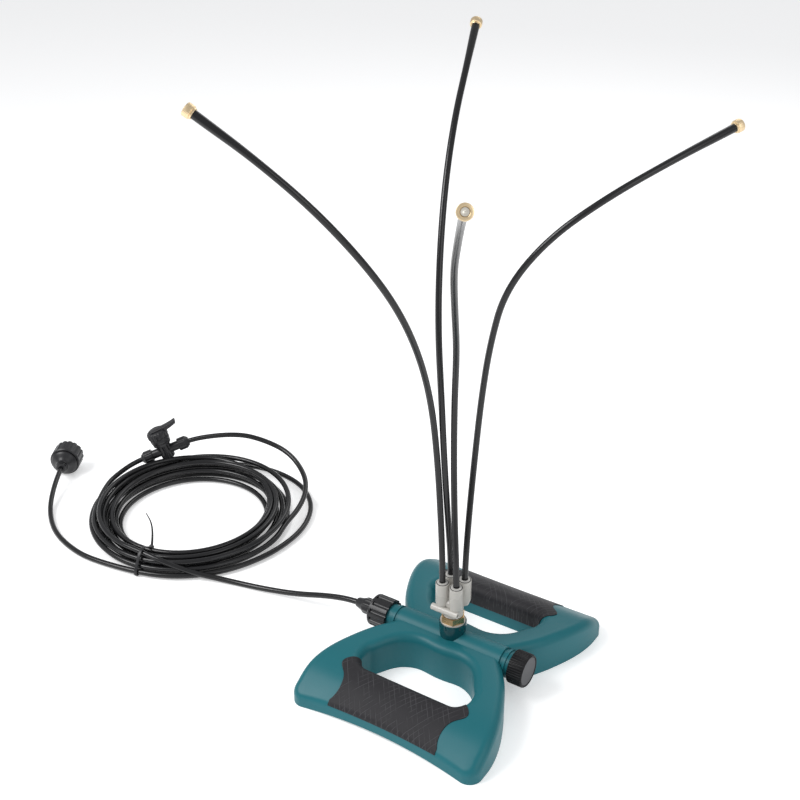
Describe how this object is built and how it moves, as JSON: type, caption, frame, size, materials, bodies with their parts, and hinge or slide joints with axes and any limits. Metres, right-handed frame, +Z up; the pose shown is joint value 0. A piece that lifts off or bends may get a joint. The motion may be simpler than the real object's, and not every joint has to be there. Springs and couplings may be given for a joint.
{
  "type": "garden misting sprinkler",
  "caption": "Garden misting sprinkler: a two-handled base with a cross pipe, a swivelling manifold with bendable upright tubes and mist nozzles, and a coiled supply hose with a shut-off valve.",
  "frame": {"origin": "on the ground under the riser's axis, at the middle of the base and its upright tubes", "axes": "+X along the water pipe from the hose inlet to the end cap, +Z up, +Y across the two handles"},
  "size_m": [0.8135, 0.4312, 0.6039],
  "materials": {
    "shell_plastic": "satin moulded plastic",
    "riser_plastic": "gloss moulded plastic",
    "grip_rubber": "finely cross-hatched rubber",
    "black_plastic": "satin moulded plastic",
    "grey_disc": "matt moulded plastic",
    "white_plastic": "smooth moulded plastic",
    "collar_grey": "smooth moulded plastic",
    "hose_black": "satin extruded plastic",
    "brass": "machined",
    "seal_rubber": "smooth",
    "steel": "zinc plated",
    "tie_nylon": "smooth nylon",
    "handle_plastic": "satin moulded plastic"
  },
  "bodies": {
    "base": {"base_shell": "shell_plastic", "front_grip": "grip_rubber", "rear_grip": "grip_rubber", "water_pipe": "shell_plastic", "pipe_clamp": "shell_plastic", "clamp_screws": "steel", "riser_boss": "riser_plastic", "riser_seal": "seal_rubber", "sealing_washer": "white_plastic", "brass_stud": "brass", "stud_o_ring": "seal_rubber", "manifold_clip": "steel", "inlet_washer": "seal_rubber", "hose_tail": "black_plastic", "hose_clamp_nut": "black_plastic", "feed_hose": "hose_black", "hose_coil": "hose_black", "cable_tie": "tie_nylon", "valve_loop_hose": "hose_black", "valve_tail_hose": "hose_black", "loose_loop_hose": "hose_black", "supply_hose": "hose_black", "valve_body": "black_plastic", "valve_nut_left": "black_plastic", "valve_nut_right": "black_plastic", "tap_tail": "black_plastic", "tap_washer": "seal_rubber"},
    "head": {"manifold": "white_plastic", "port_o_rings": "seal_rubber", "grip_rings": "steel", "tube_left": "hose_black", "tube_rear": "hose_black", "tube_front": "hose_black", "tube_right": "hose_black", "nozzle_left": "brass", "nozzle_rear": "brass", "nozzle_front": "brass", "nozzle_right": "brass", "nozzle_insert_left": "brass", "nozzle_insert_rear": "brass", "nozzle_insert_front": "brass", "nozzle_insert_right": "brass"},
    "collar_left": {"release_collar_left": "collar_grey"},
    "collar_rear": {"release_collar_rear": "collar_grey"},
    "collar_front": {"release_collar_front": "collar_grey"},
    "collar_right": {"release_collar_right": "collar_grey"},
    "end_cap": {"end_cap": "black_plastic", "cap_disc": "grey_disc", "cap_seal": "seal_rubber"},
    "inlet_nut": {"inlet_nut": "black_plastic"},
    "valve_handle": {"valve_lever": "handle_plastic", "valve_plug": "black_plastic", "plug_o_ring": "seal_rubber"},
    "tap_nut": {"tap_nut": "black_plastic"}
  },
  "joints": [
    {"name": "head_swivel", "type": "hinge", "parent": "base", "child": "head", "pos_m": [0, 0, 0.07], "axis": [0, 0, 1], "continuous": true},
    {"name": "collar_press_left", "type": "slide", "parent": "head", "child": "collar_left", "axis": [0, 0, -1], "range_m": [0, 0.0015], "stiffness_N_per_m": 400},
    {"name": "collar_press_rear", "type": "slide", "parent": "head", "child": "collar_rear", "axis": [0, 0, -1], "range_m": [0, 0.0015], "stiffness_N_per_m": 400},
    {"name": "collar_press_front", "type": "slide", "parent": "head", "child": "collar_front", "axis": [0, 0, -1], "range_m": [0, 0.0015], "stiffness_N_per_m": 400},
    {"name": "collar_press_right", "type": "slide", "parent": "head", "child": "collar_right", "axis": [0, 0, -1], "range_m": [0, 0.0015], "stiffness_N_per_m": 400},
    {"name": "end_cap_turn", "type": "hinge", "parent": "base", "child": "end_cap", "pos_m": [0.08, 0, 0.031], "axis": [1, 0, 0], "continuous": true},
    {"name": "inlet_nut_turn", "type": "hinge", "parent": "base", "child": "inlet_nut", "pos_m": [-0.085, 0, 0.031], "axis": [1, 0, 0], "continuous": true},
    {"name": "valve_turn", "type": "hinge", "parent": "base", "child": "valve_handle", "pos_m": [-0.507, 0.119, 0.038], "axis": [-0.2263, -0.2263, 0.9474], "range_deg": [0, 90]},
    {"name": "tap_nut_turn", "type": "hinge", "parent": "base", "child": "tap_nut", "pos_m": [-0.626, 0.0565, 0.019], "axis": [-0.5201, 0.8541, 0], "continuous": true}
  ]
}
